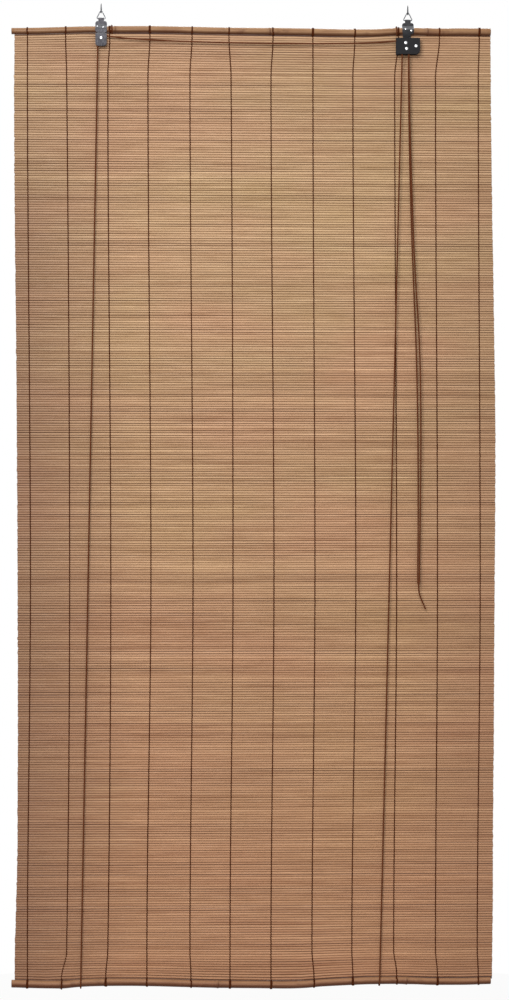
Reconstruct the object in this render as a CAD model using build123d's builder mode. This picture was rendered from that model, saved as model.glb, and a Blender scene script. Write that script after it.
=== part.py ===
from build123d import *
import os
from math import acos, atan2, cos, degrees, radians, sin, tan

# Bamboo roll-up blind. A mat of split bamboo slats, woven on twelve strings, hangs between a head
# cane and a foot cane. Two folded straps hold the head cane on the bails of two screw hooks. A lift
# cord runs down the back at each side, round the foot cane and up the front: the left one over a
# pulley and across to the cord lock, the right one straight into it. Both leave as the pull cord.
#
# Millimetres, X to the right, +Y away from the viewer, +Z up. The origin is midway between the two
# hook shanks, on the surface that they screw into.

# Whole blind
cane_length = 800.0
cane_offset_x = -5.0
cane_drop = 1588.0
mat_inset = 3.0
hook_spacing_share = 0.64
sheet_t = 1.0
cord_r = 1.3
cord_sides = 8
running_clear = 0.05
body_clear = 0.3
overrun = 2.0

# Screw hooks: a threaded shank that bends into an open ring
hook_wire_r = 1.2
wire_sides = 12
hook_thread_l = 9.0
hook_point_l = 4.0
hook_point_r = 0.25
hook_neck_l = 0.2
hook_bend_r = 1.8
hook_ring_r = 2.6
hook_tip_rise = 20.0

# Bails: wire loops, narrow at the hook and wide where the strap curls round them
bail_wire_r = 0.8
bail_height = 12.5
bail_top_r = 2.3
bail_corner_r = 1.7
bail_straight = 10.2
bail_rest_clear = 0.05

# Straps: curl, tongue, saddle on the cane and tab behind the pulley housing
curl_clear = 0.08
curl_turn = 270.0
tongue_w = 9.6
hanger_drop = 17.9
shoulder_drop = 4.1
saddle_w = 19.4
saddle_corner_r = 4.0
saddle_foot = 5.8
saddle_clear = 0.2
saddle_wrap = 45.0
strap_bend_r = 2.5
tab_w = 13.0
tab_corner_r = 2.5
tab_end = 4.2

# Nails through each saddle into the cane
nail_r = 0.8
nail_l = 5.6
nail_head_r = 1.6
nail_head_t = 0.7
left_nail_shares = (-0.33, 0.18)
left_nail_angles = (45.0, 60.0)
right_nail_shares = (-0.22, 0.27)
right_nail_angles = (64.0, 88.0)

# Canes: the radius of each length between growth nodes, a ridge at each node and a bore at each end
head_rs = (5.4, 5.7, 6.1, 6.4)
foot_rs = (6.5, 6.3, 6.2, 5.9)
node_ridge_h = 0.5
node_ridge_w = 5.2
node_crest_share = 0.35
head_node_shares = (-0.284, 0.038, 0.368)
foot_node_shares = (-0.396, -0.07, 0.324)
cane_bore_r = 1.7
cane_bore_l = 14.0

# Slat mat
slat_pitch = 4.0
slat_t = 1.7
groove_depth = 0.55
mat_gap = 0.3
slot_every = 8
slot_h = 0.5
slot_margin = 20.0

# Weaving strings, and their turns round the canes
string_count = 12
string_span_share = 0.9476
string_offset_x = -2.0
string_w = 1.8
string_t = 0.8
string_clear = 0.1
binding_w = 2.2
binding_t = 0.9
ring_sides = 8

# Sheaves, and the rivets that they turn on
sheave_w = 4.0
sheave_r = 6.2
sheave_pitch_r = 5.2
sheave_floor_r = 3.8
sheave_floor_w = 1.8
sheave_rim_w = 0.25
side_clear = 0.33
axle_r = 1.6
axle_head_r = 2.6
axle_head_t = 0.9
axle_tail_t = 0.6
axle_dome_share = 0.6

# Pulley housing on the left
pulley_axle_drop = 15.9
pulley_top_drop = 7.6
pulley_w = 18.6
pulley_h = 21.6
pulley_corner_r = 5.0
channel_bend_r = 1.2

# Cord lock on the right
lock_offset_x = -0.9
lock_top_drop = 13.4
lock_w = 39.8
lock_h = 27.2
lock_corner_r = 7.0
lock_small_r = 1.5
lock_axle_dx = -5.0
lock_axle_drop = 21.9
anvil_dx = -3.7
anvil_drop = 31.6
anvil_r = 2.5
cam_dx = 12.2
cam_drop = 27.1
cam_hub_r = 3.6
tooth_count = 5
tooth_pitch = 1.5
tooth_depth = 0.7

# Lift cords: tied beside the first string inside each strap, and turned round the foot cane
left_turn_dx = -34.0
right_turn_dx = -48.0
tie_string_clear = 1.2
tie_w = 2.6
tie_t = 1.2
tie_knot_r = 2.6
tie_knot_end_r = 1.4
tie_knot_l = 9.0
turn_share = 0.98

# Cross cord: how far along it each bend is, and how far below the pulley
cross_shares = (0.026, 0.082, 0.173, 0.284, 0.404, 0.525, 0.646, 0.767, 0.878, 0.948)
cross_drops = (3.1, 5.7, 8.3, 10.3, 11.7, 12.5, 12.7, 12.3, 11.0, 9.1)

# Pull cord: the sideways drift of each strand at equal steps below the lock, its knot and its tail
pull_drop = 898.0
strand_first_drop = 58.0
strand_step = 60.0
back_drifts = (0.2, 0.6, 1.5, 2.8, 4.5, 6.5, 8.9, 11.4, 13.4, 14.8, 15.6, 16.0, 16.1, 15.9)
front_drifts = (0.4, 1.4, 3.0, 4.8, 6.8, 9.2, 12.6, 16.7, 19.2, 20.3, 20.6, 20.3, 19.6, 18.8)
knot_dx = 16.7
knot_y = -12.9
knot_lead = 28.0
knot_strand_dx = 1.35
knot_l = 12.0
knot_top_r = 2.4
knot_mid_r = 3.0
knot_foot_r = 1.6
tail_dxs = (0, 0, 2.3, 6.5, 11.1)
tail_dys = (0, 0, 0.1, 0.2, 0.4)
tail_drops = (0, 7.0, 17.0, 27.5, 38.0)

# Share of a run that a free cord's bend takes up
bend_share = 0.45

# Places that follow from the sizes
mat_width = cane_length - 2 * mat_inset
string_pitch = string_span_share * mat_width / (string_count - 1)
left_x = -hook_spacing_share * cane_length / 2
right_x = hook_spacing_share * cane_length / 2
hook_turn = acos(hook_bend_r / (hook_bend_r + hook_ring_r))
hook_ring_z = -hook_neck_l - (hook_bend_r + hook_ring_r) * sin(hook_turn)
bail_top_z = hook_ring_z - hook_ring_r + hook_wire_r + bail_wire_r + bail_rest_clear
bail_foot_z = bail_top_z - bail_height
head_z = bail_foot_z - hanger_drop
foot_z = head_z - cane_drop
binding_room = running_clear + binding_t
mat_top = head_z - max(head_rs) - binding_room - mat_gap
mat_foot = foot_z + max(foot_rs) + binding_room + mat_gap
slat_count = round((mat_top - mat_foot) / slat_pitch)
slat_h = (mat_top - mat_foot) / slat_count
string_y = slat_t / 2 + string_clear + string_t / 2
string_places = [string_offset_x + string_pitch * (i - (string_count - 1) / 2) for i in range(string_count)]
tie_reach = binding_w / 2 + tie_string_clear + tie_w / 2
left_tie_x = min(x for x in string_places if x > left_x + saddle_w / 2) + tie_reach
right_tie_x = max(x for x in string_places if x < right_x - saddle_w / 2) - tie_reach

pulley_axle_z = head_z - pulley_axle_drop
pulley_gap = sheave_w + 2 * side_clear
lock_x = right_x + lock_offset_x
lock_axle_x = right_x + lock_axle_dx
lock_axle_z = head_z - lock_axle_drop
anvil_x = right_x + anvil_dx
anvil_z = head_z - anvil_drop
cam_x = right_x + cam_dx
cam_z = head_z - cam_drop
lock_gap = 2 * sheave_w + 3 * side_clear
strand_x = lock_axle_x + sheave_pitch_r
pulley_cord_z = pulley_axle_z + sheave_pitch_r
lock_cord_z = lock_axle_z + sheave_pitch_r
knot_x = strand_x + knot_dx
knot_top_z = lock_cord_z - pull_drop


def front_plane(y):
    """Upright plane across the blind, drawn in X and Z and facing the viewer."""
    return Plane.XZ.offset(-y)


def side_plane(x):
    """Upright plane through the blind's depth, drawn in Y and Z."""
    return Plane.YZ.offset(x)


def cane_r(x, radii, node_shares):
    """Radius of a cane at x, away from its growth nodes."""
    return radii[sum(x > cane_offset_x + share * cane_length for share in node_shares)]


def head_r(x):
    return cane_r(x, head_rs, head_node_shares)


def foot_r(x):
    return cane_r(x, foot_rs, foot_node_shares)


def strap_face(x):
    """Front face of the strap's tab, which the housing lies on."""
    return -(head_r(x) + saddle_clear + sheet_t)


def nail_plane(hanger_x, share, angle):
    """Plane on the saddle's outer face, facing out along a radius of the cane."""
    x = hanger_x + share * saddle_w
    reach = head_r(hanger_x) + saddle_clear + sheet_t
    out = Vector(0, -sin(radians(angle)), cos(radians(angle)))
    return Plane(origin=Vector(x, 0, head_z) + out * reach, x_dir=(1, 0, 0), z_dir=out)


left_nails_at = [nail_plane(left_x, s, a) for s, a in zip(left_nail_shares, left_nail_angles)]
right_nails_at = [nail_plane(right_x, s, a) for s, a in zip(right_nail_shares, right_nail_angles)]

pulley_y = strap_face(left_x) - sheet_t - pulley_gap / 2
lock_back_y = strap_face(right_x) - sheet_t - side_clear - sheave_w / 2
lock_front_y = lock_back_y - sheave_w - side_clear

os.makedirs("parts", exist_ok=True)

# Screw hooks, one solid at each side
with BuildPart() as screw_hooks:
    for x in (left_x, right_x):
        with BuildSketch(side_plane(x)):
            with BuildLine():
                Polyline((0, -hook_neck_l), (hook_wire_r, -hook_neck_l),
                         (hook_wire_r, hook_thread_l - hook_point_l), (hook_point_r, hook_thread_l),
                         (0, hook_thread_l), close=True)
            make_face()
        revolve(axis=Axis((x, 0, 0), (0, 0, 1)))
        with BuildLine(side_plane(x)) as hook_line:
            JernArc((0, -hook_neck_l), (0, -1), hook_bend_r, degrees(hook_turn))
            CenterArc((0, hook_ring_z), hook_ring_r, degrees(hook_turn),
                      -(degrees(hook_turn) + 180 + hook_tip_rise))
        with BuildSketch(Plane.XY.offset(-hook_neck_l)):
            with Locations((x, 0)):
                RegularPolygon(hook_wire_r, wire_sides)
        sweep(path=hook_line.wire())
screw_hooks.part.label = "screw_hooks"
export_step(screw_hooks.part, "parts/screw_hooks.step")

# Bails, one wire loop on each hook, made as a right half and its mirror image
top_c = Vector(0, bail_top_z - bail_top_r)
corner_c = Vector(bail_straight / 2, bail_foot_z + bail_corner_r)
lean = top_c - corner_c
side_angle = atan2(lean.Y, lean.X) - acos((bail_corner_r - bail_top_r) / lean.length)
side_out = Vector(cos(side_angle), sin(side_angle))
with BuildPart() as bails:
    for x in (left_x, right_x):
        with BuildLine(Plane(origin=(x, 0, 0), x_dir=(1, 0, 0), z_dir=(0, -1, 0))) as half_loop:
            Line((0, bail_foot_z), (corner_c.X, bail_foot_z))
            CenterArc(tuple(corner_c), bail_corner_r, -90, 90 + degrees(side_angle))
            Line(tuple(corner_c + side_out * bail_corner_r), tuple(top_c + side_out * bail_top_r))
            CenterArc(tuple(top_c), bail_top_r, degrees(side_angle), 90 - degrees(side_angle))
        with BuildSketch(side_plane(x)):
            with Locations((0, bail_foot_z)):
                RegularPolygon(bail_wire_r, wire_sides)
        half = sweep(path=half_loop.wire())
        mirror(half, about=side_plane(x))
bails.part.label = "bails"
export_step(bails.part, "parts/bails.step")


def hanger(x, tab_x, tab_foot_z, axles, nails):
    """Strap of folded sheet: curled round the bail, bent over the cane and down behind a housing."""
    reach = head_r(x) + saddle_clear + sheet_t / 2
    curl_r = bail_wire_r + curl_clear + sheet_t / 2
    wrap = radians(saddle_wrap)
    bend_z = head_z + reach * cos(wrap) + (reach * sin(wrap) - curl_r) * tan(wrap)
    shoulder_z = bail_foot_z - shoulder_drop
    saddle_h = shoulder_z - head_z + saddle_foot
    with BuildPart() as strap:
        with BuildSketch(side_plane(x)):
            with BuildLine():
                CenterArc((0, bail_foot_z), curl_r, 180 - curl_turn, curl_turn)
                FilletPolyline((-curl_r, bail_foot_z), (-curl_r, bend_z),
                               (-reach * sin(wrap), head_z + reach * cos(wrap)), radius=strap_bend_r)
                CenterArc((0, head_z), reach, 90 + saddle_wrap, 90 - saddle_wrap)
                Line((-reach, head_z), (-reach, tab_foot_z))
            trace(line_width=sheet_t)
        extrude(amount=saddle_w, both=True)
        with BuildSketch(front_plane(0)):
            with Locations((x, bail_foot_z)):
                Rectangle(tongue_w, 2 * saddle_h)
            with Locations((x, shoulder_z - saddle_h / 2)):
                RectangleRounded(saddle_w, saddle_h, saddle_corner_r)
            with Locations((tab_x, (head_z + tab_foot_z) / 2)):
                RectangleRounded(tab_w, head_z - tab_foot_z, tab_corner_r)
        extrude(amount=reach + sheet_t + overrun, both=True, mode=Mode.INTERSECT)
        with BuildSketch(front_plane(0)):
            with Locations(*axles):
                Circle(axle_r)
        extrude(amount=reach + sheet_t, mode=Mode.SUBTRACT)
        for plane in nails:
            with BuildSketch(plane):
                Circle(nail_r)
            extrude(amount=-nail_l, mode=Mode.SUBTRACT)
    return strap


left_hanger = hanger(left_x, left_x, pulley_axle_z - axle_r - tab_end, [(left_x, pulley_axle_z)],
                     left_nails_at)
left_hanger.part.label = "left_hanger"
export_step(left_hanger.part, "parts/left_hanger.step")

right_hanger = hanger(right_x, (right_x + lock_axle_x) / 2, anvil_z - axle_r - tab_end,
                      [(lock_axle_x, lock_axle_z), (anvil_x, anvil_z)], right_nails_at)
right_hanger.part.label = "right_hanger"
export_step(right_hanger.part, "parts/right_hanger.step")

# Nails, two at each side
with BuildPart() as nails:
    for plane in left_nails_at + right_nails_at:
        along = plane.x_dir.cross(plane.z_dir)
        with BuildSketch(Plane(origin=plane.origin, x_dir=plane.x_dir, z_dir=along)):
            with BuildLine():
                Polyline((0, nail_head_t), (nail_head_r, nail_head_t), (nail_head_r, 0), (nail_r, 0),
                         (nail_r, -nail_l), (0, -nail_l), close=True)
            make_face()
        revolve(axis=Axis(plane.origin, plane.z_dir))
nails.part.label = "nails"
export_step(nails.part, "parts/nails.step")


def cane(axis_z, radii, node_shares):
    """Bamboo cane lying along X, with a ridge at each growth node."""
    left = cane_offset_x - cane_length / 2
    right = cane_offset_x + cane_length / 2
    outline = [(left, radii[0])]
    for share, before, after in zip(node_shares, radii, radii[1:]):
        node = cane_offset_x + share * cane_length
        crest = node_ridge_w * node_crest_share / 2
        crest_r = max(before, after) + node_ridge_h
        outline += [(node - node_ridge_w / 2, before), (node - crest, crest_r), (node + crest, crest_r),
                    (node + node_ridge_w / 2, after)]
    outline += [(right, radii[-1]), (right, cane_bore_r), (right - cane_bore_l, cane_bore_r),
                (right - cane_bore_l, 0), (left + cane_bore_l, 0), (left + cane_bore_l, cane_bore_r),
                (left, cane_bore_r)]
    with BuildPart() as pole:
        with BuildSketch(Plane.XZ):
            with BuildLine():
                Polyline([(x, axis_z + r) for x, r in outline], close=True)
            make_face()
        revolve(axis=Axis((0, 0, axis_z), (1, 0, 0)))
    return pole


# Head cane, with a bore for each nail
with BuildPart() as head_cane:
    add(cane(head_z, head_rs, head_node_shares).part)
    for plane in left_nails_at + right_nails_at:
        with BuildSketch(plane):
            Circle(nail_r)
        extrude(amount=-nail_l, mode=Mode.SUBTRACT)
head_cane.part.label = "head_cane"
export_step(head_cane.part, "parts/head_cane.step")

foot_cane = cane(foot_z, foot_rs, foot_node_shares)
foot_cane.part.label = "foot_cane"
export_step(foot_cane.part, "parts/foot_cane.step")

# Slat mat: a ridge to each slat, front and back, with a slot right through at every eighth groove
crest_y = slat_t / 2
groove_y = crest_y - groove_depth
with BuildPart() as slat_mat:
    with BuildSketch(side_plane(-mat_width / 2)):
        with BuildLine():
            edge = [(crest_y if i % 2 else groove_y, mat_top - i * slat_h / 2)
                    for i in range(2 * slat_count + 1)]
            Polyline(edge + [(-y, z) for y, z in reversed(edge)], close=True)
        make_face()
    extrude(amount=mat_width)
    with BuildSketch(front_plane(crest_y)):
        with Locations(*[(0, mat_top - i * slat_h) for i in range(slot_every, slat_count, slot_every)]):
            Rectangle(mat_width - 2 * slot_margin, slot_h)
    extrude(amount=slat_t, mode=Mode.SUBTRACT)
slat_mat.part.label = "slat_mat"
export_step(slat_mat.part, "parts/slat_mat.step")

# Weaving strings, front and back of the mat
with BuildPart() as warp_strings:
    for x in string_places:
        top_z = head_z - head_r(x) - binding_room
        end_z = foot_z + foot_r(x) + binding_room + body_clear
        with BuildSketch(Plane.XY.offset(end_z)):
            with Locations((x, -string_y), (x, string_y)):
                Rectangle(string_w, string_t)
        extrude(amount=top_z - end_z)
warp_strings.part.label = "warp_strings"
export_step(warp_strings.part, "parts/warp_strings.step")


def cane_ring(x, axis_z, radius, width, thick):
    """Flat-sided turn of string or cord round a cane."""
    with BuildPart() as ring:
        with BuildSketch(side_plane(x - width / 2)):
            with Locations((0, axis_z)):
                RegularPolygon(radius + running_clear + thick, ring_sides, major_radius=False,
                               rotation=180 / ring_sides)
                RegularPolygon(radius + running_clear, ring_sides, major_radius=False,
                               rotation=180 / ring_sides, mode=Mode.SUBTRACT)
        extrude(amount=width)
    return ring.part


with BuildPart() as head_bindings:
    for x in string_places:
        add(cane_ring(x, head_z, head_r(x), binding_w, binding_t))
head_bindings.part.label = "head_bindings"
export_step(head_bindings.part, "parts/head_bindings.step")

with BuildPart() as foot_bindings:
    for x in string_places:
        add(cane_ring(x, foot_z, foot_r(x), binding_w, binding_t))
foot_bindings.part.label = "foot_bindings"
export_step(foot_bindings.part, "parts/foot_bindings.step")


def channel(x, width, top_z, height, face_y, gap, right_corner_r, left_corner_r, axles):
    """Sheet bent to an upside-down U: a back plate on face_y, a bridge and a front plate."""
    back_y = face_y - sheet_t / 2
    front_y = back_y - gap - sheet_t
    bridge_z = top_z - sheet_t / 2
    depth = gap + 2 * sheet_t
    with BuildPart() as body:
        with BuildSketch(side_plane(x)):
            with BuildLine():
                FilletPolyline((back_y, top_z - height), (back_y, bridge_z), (front_y, bridge_z),
                               (front_y, top_z - height), radius=channel_bend_r)
            trace(line_width=sheet_t)
        extrude(amount=width / 2, both=True)
        with BuildSketch(front_plane(face_y)) as outline:
            with Locations((x, top_z - height / 2)):
                Rectangle(width, height)
            feet = outline.vertices().group_by(Axis.Y)[0].sort_by(Axis.X)
            fillet(feet[0], left_corner_r)
            feet = outline.vertices().group_by(Axis.Y)[0].sort_by(Axis.X)
            fillet(feet[-1], right_corner_r)
        extrude(amount=depth, mode=Mode.INTERSECT)
        with BuildSketch(front_plane(face_y)):
            with Locations(*axles):
                Circle(axle_r)
        extrude(amount=depth, mode=Mode.SUBTRACT)
    return body


pulley_housing = channel(left_x, pulley_w, head_z - pulley_top_drop, pulley_h, strap_face(left_x),
                         pulley_gap, pulley_corner_r, pulley_corner_r, [(left_x, pulley_axle_z)])
pulley_housing.part.label = "pulley_housing"
export_step(pulley_housing.part, "parts/pulley_housing.step")

lock_housing = channel(lock_x, lock_w, head_z - lock_top_drop, lock_h, strap_face(right_x), lock_gap,
                       lock_corner_r, lock_small_r,
                       [(lock_axle_x, lock_axle_z), (anvil_x, anvil_z), (cam_x, cam_z)])
lock_housing.part.label = "lock_housing"
export_step(lock_housing.part, "parts/lock_housing.step")


def sheave(x, y, z):
    """Grooved wheel turning about Y."""
    side = sheave_w / 2
    half = [(axle_r + running_clear, side), (sheave_r, side), (sheave_r, side - sheave_rim_w),
            (sheave_floor_r, sheave_floor_w / 2)]
    with BuildPart() as wheel:
        with BuildSketch(side_plane(x)):
            with BuildLine():
                Polyline([(y + dy, z + r) for r, dy in half]
                         + [(y - dy, z + r) for r, dy in reversed(half)], close=True)
            make_face()
        revolve(axis=Axis((x, 0, z), (0, 1, 0)))
    return wheel


left_sheave = sheave(left_x, pulley_y, pulley_axle_z)
left_sheave.part.label = "left_sheave"
export_step(left_sheave.part, "parts/left_sheave.step")

lock_sheave_back = sheave(lock_axle_x, lock_back_y, lock_axle_z)
lock_sheave_back.part.label = "lock_sheave_back"
export_step(lock_sheave_back.part, "parts/lock_sheave_back.step")

lock_sheave_front = sheave(lock_axle_x, lock_front_y, lock_axle_z)
lock_sheave_front.part.label = "lock_sheave_front"
export_step(lock_sheave_front.part, "parts/lock_sheave_front.step")


def rivet(x, z, back_y, front_y):
    """Rivet along Y, with a flat tail behind back_y and a domed head before front_y."""
    outline = [(back_y + axle_tail_t, 0), (back_y + axle_tail_t, axle_head_r), (back_y, axle_head_r),
               (back_y, axle_r), (front_y, axle_r), (front_y, axle_head_r),
               (front_y - axle_head_t, axle_head_r * axle_dome_share), (front_y - axle_head_t, 0)]
    with BuildPart() as pin:
        with BuildSketch(side_plane(x)):
            with BuildLine():
                Polyline([(y, z + r) for y, r in outline], close=True)
            make_face()
        revolve(axis=Axis((x, 0, z), (0, 1, 0)))
    return pin


pulley_front_y = strap_face(left_x) - 2 * sheet_t - pulley_gap
lock_face_y = strap_face(right_x) - 2 * sheet_t - lock_gap

left_axle = rivet(left_x, pulley_axle_z, strap_face(left_x) + sheet_t, pulley_front_y)
left_axle.part.label = "left_axle"
export_step(left_axle.part, "parts/left_axle.step")

lock_axle = rivet(lock_axle_x, lock_axle_z, strap_face(right_x) + sheet_t, lock_face_y)
lock_axle.part.label = "lock_axle"
export_step(lock_axle.part, "parts/lock_axle.step")

anvil_pin = rivet(anvil_x, anvil_z, strap_face(right_x) + sheet_t, lock_face_y)
anvil_pin.part.label = "anvil_pin"
export_step(anvil_pin.part, "parts/anvil_pin.step")

cam_pin = rivet(cam_x, cam_z, strap_face(right_x), lock_face_y)
cam_pin.part.label = "cam_pin"
export_step(cam_pin.part, "parts/cam_pin.step")

# Anvil roller and toothed cam, which pinch the two pull strands between them
inner_y = strap_face(right_x) - sheet_t - body_clear
inner_w = lock_gap - 2 * body_clear

with BuildPart() as lock_anvil:
    with BuildSketch(front_plane(inner_y)):
        with Locations((anvil_x, anvil_z)):
            Circle(anvil_r)
            Circle(axle_r + running_clear, mode=Mode.SUBTRACT)
    extrude(amount=inner_w)
lock_anvil.part.label = "lock_anvil"
export_step(lock_anvil.part, "parts/lock_anvil.step")

nose_x = strand_x + cord_r + body_clear
with BuildPart() as lock_cam:
    with BuildSketch(front_plane(inner_y)):
        with BuildLine():
            teeth = []
            for i in range(tooth_count):
                teeth += [(nose_x, cam_z - i * tooth_pitch),
                          (nose_x + tooth_depth, cam_z - (i + 1) * tooth_pitch)]
            Polyline([(cam_x, cam_z + cam_hub_r)] + teeth + [(cam_x, cam_z - cam_hub_r)], close=True)
        make_face()
        with Locations((cam_x, cam_z)):
            Circle(cam_hub_r)
            Circle(axle_r + running_clear, mode=Mode.SUBTRACT)
    extrude(amount=inner_w)
lock_cam.part.label = "lock_cam"
export_step(lock_cam.part, "parts/lock_cam.step")


def bend_radii(points):
    """Largest bend that each corner of a free cord leaves room for."""
    radii = []
    for before, corner, after in zip(points, points[1:], points[2:]):
        run_in = Vector(*corner) - Vector(*before)
        run_out = Vector(*after) - Vector(*corner)
        turn = radians(run_in.get_angle(run_out))
        radii.append(bend_share * min(run_in.length, run_out.length) / tan(turn / 2))
    return radii


def cord(name, points, radii):
    """Plain tube along straight runs and tangent arcs."""
    with BuildPart() as tube:
        with BuildLine() as route:
            FilletPolyline(*points, radius=radii)
        with BuildSketch(Plane(origin=route.line @ 0, z_dir=route.line % 0)):
            RegularPolygon(cord_r, cord_sides)
        sweep(path=route.wire())
    print(f"{name}: length {route.wire().length:.1f}, radii", [round(r, 1) for r in radii])
    return tube


def lift_route(tie_x, turn_x, wheel_x, wheel_y, wheel_z):
    """Down the back from the tie, round the foot cane, up the front and over the sheave."""
    around = foot_r(turn_x) + body_clear + cord_r
    tie_y = head_r(tie_x) + running_clear + tie_t / 2
    tie_z = head_z - (head_r(tie_x) + tie_t) / 2 - tie_knot_l - running_clear
    points = [(tie_x, tie_y, tie_z), (turn_x, around, foot_z - around), (turn_x, -around, foot_z - around),
              (wheel_x - sheave_pitch_r, wheel_y, wheel_z + sheave_pitch_r),
              (wheel_x, wheel_y, wheel_z + sheave_pitch_r)]
    radii = [turn_share * around, turn_share * around, turn_share * sheave_pitch_r]
    return points, radii


lift_cord_left = cord("lift_cord_left",
                      *lift_route(left_tie_x, left_x + left_turn_dx, left_x, pulley_y, pulley_axle_z))
lift_cord_left.part.label = "lift_cord_left"
export_step(lift_cord_left.part, "parts/lift_cord_left.step")

lift_cord_right = cord("lift_cord_right",
                       *lift_route(right_tie_x, right_x + right_turn_dx, lock_axle_x, lock_front_y,
                                   lock_axle_z))
lift_cord_right.part.label = "lift_cord_right"
export_step(lift_cord_right.part, "parts/lift_cord_right.step")

# Cross cord: from the left sheave it sags along the top of the mat and rises into the lock
leave = Vector(left_x + sheave_pitch_r, pulley_y, pulley_cord_z)
enter = Vector(lock_axle_x - sheave_pitch_r, lock_back_y, lock_cord_z)
across = Vector(enter.X - leave.X, enter.Y - leave.Y)
sagging = [leave + across * share - Vector(0, 0, drop) for share, drop in zip(cross_shares, cross_drops)]
cross_route = [(left_x, pulley_y, pulley_cord_z), tuple(leave)] + [tuple(point) for point in sagging]
cross_route += [tuple(enter), (lock_axle_x, lock_back_y, lock_cord_z)]
cross_cord = cord("cross_cord", cross_route, bend_radii(cross_route))
cross_cord.part.label = "cross_cord"
export_step(cross_cord.part, "parts/cross_cord.step")

# Pull cord: the two strands come down from the lock and meet in a knot with one short tail
def strand_route(wheel_y, drifts, knot_side):
    """Over the lock's sheave, down in front of the mat and into the knot."""
    points = [(lock_axle_x, wheel_y, lock_cord_z), (strand_x, wheel_y, lock_cord_z)]
    for i, drift in enumerate(drifts):
        drop = strand_first_drop + i * strand_step
        y = wheel_y + (knot_y - wheel_y) * drop / pull_drop
        points.append((strand_x + drift, y, lock_cord_z - drop))
    end_x = knot_x + knot_side * knot_strand_dx
    return points + [(end_x, knot_y, knot_top_z + knot_lead), (end_x, knot_y, knot_top_z)]


def strand_radii(points):
    """Bends of a pull strand: round the lock's sheave first, then as free cord."""
    return [turn_share * sheave_pitch_r] + bend_radii(points[1:])


back_route = strand_route(lock_back_y, back_drifts, -1)
pull_cord_back = cord("pull_cord_back", back_route, strand_radii(back_route))
pull_cord_back.part.label = "pull_cord_back"
export_step(pull_cord_back.part, "parts/pull_cord_back.step")

front_route = strand_route(lock_front_y, front_drifts, 1)
pull_cord_front = cord("pull_cord_front", front_route, strand_radii(front_route))
pull_cord_front.part.label = "pull_cord_front"
export_step(pull_cord_front.part, "parts/pull_cord_front.step")

tail_route = [(knot_x + dx, knot_y + dy, knot_top_z - knot_l - drop)
              for dx, dy, drop in zip(tail_dxs, tail_dys, tail_drops)]
pull_cord_tail = cord("pull_cord_tail", tail_route, bend_radii(tail_route))
pull_cord_tail.part.label = "pull_cord_tail"
export_step(pull_cord_tail.part, "parts/pull_cord_tail.step")

with BuildPart() as pull_cord_knot:
    with BuildSketch(front_plane(knot_y)):
        with BuildLine():
            Polyline((knot_x, knot_top_z), (knot_x + knot_top_r, knot_top_z),
                     (knot_x + knot_mid_r, knot_top_z - knot_l / 2),
                     (knot_x + knot_foot_r, knot_top_z - knot_l), (knot_x, knot_top_z - knot_l), close=True)
        make_face()
    revolve(axis=Axis((knot_x, knot_y, 0), (0, 0, 1)))
pull_cord_knot.part.label = "pull_cord_knot"
export_step(pull_cord_knot.part, "parts/pull_cord_knot.step")


def lift_tie(x):
    """Turn of lift cord round the head cane, with its knot hanging behind."""
    radius = head_r(x)
    y = radius + running_clear + tie_t / 2
    top_z = head_z - (radius + tie_t) / 2
    with BuildPart() as tie:
        add(cane_ring(x, head_z, radius, tie_w, tie_t))
        with BuildSketch(front_plane(y)):
            with BuildLine():
                Polyline((x, top_z), (x + tie_knot_end_r, top_z), (x + tie_knot_r, top_z - tie_knot_l / 2),
                         (x + tie_knot_end_r, top_z - tie_knot_l), (x, top_z - tie_knot_l), close=True)
            make_face()
        revolve(axis=Axis((x, y, 0), (0, 0, 1)))
    return tie


lift_tie_left = lift_tie(left_tie_x)
lift_tie_left.part.label = "lift_tie_left"
export_step(lift_tie_left.part, "parts/lift_tie_left.step")

lift_tie_right = lift_tie(right_tie_x)
lift_tie_right.part.label = "lift_tie_right"
export_step(lift_tie_right.part, "parts/lift_tie_right.step")
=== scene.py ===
import math

import bpy
import numpy as np
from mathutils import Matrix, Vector


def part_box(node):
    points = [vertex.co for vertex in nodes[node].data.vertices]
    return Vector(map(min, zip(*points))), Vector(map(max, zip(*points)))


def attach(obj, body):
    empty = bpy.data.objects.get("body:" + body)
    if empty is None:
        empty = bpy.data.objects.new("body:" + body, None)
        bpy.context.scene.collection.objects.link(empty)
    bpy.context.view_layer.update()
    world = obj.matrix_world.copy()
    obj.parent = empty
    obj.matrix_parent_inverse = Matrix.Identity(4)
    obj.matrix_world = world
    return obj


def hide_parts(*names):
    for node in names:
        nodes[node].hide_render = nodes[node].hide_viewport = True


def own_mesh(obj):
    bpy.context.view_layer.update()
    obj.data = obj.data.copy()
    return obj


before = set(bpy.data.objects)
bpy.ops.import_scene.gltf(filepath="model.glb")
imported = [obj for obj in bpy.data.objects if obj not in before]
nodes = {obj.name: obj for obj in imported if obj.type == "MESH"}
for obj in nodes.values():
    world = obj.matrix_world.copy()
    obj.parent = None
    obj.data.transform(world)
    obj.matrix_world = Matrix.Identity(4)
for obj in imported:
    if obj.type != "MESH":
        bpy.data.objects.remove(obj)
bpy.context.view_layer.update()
rng = np.random.default_rng(11)

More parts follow.
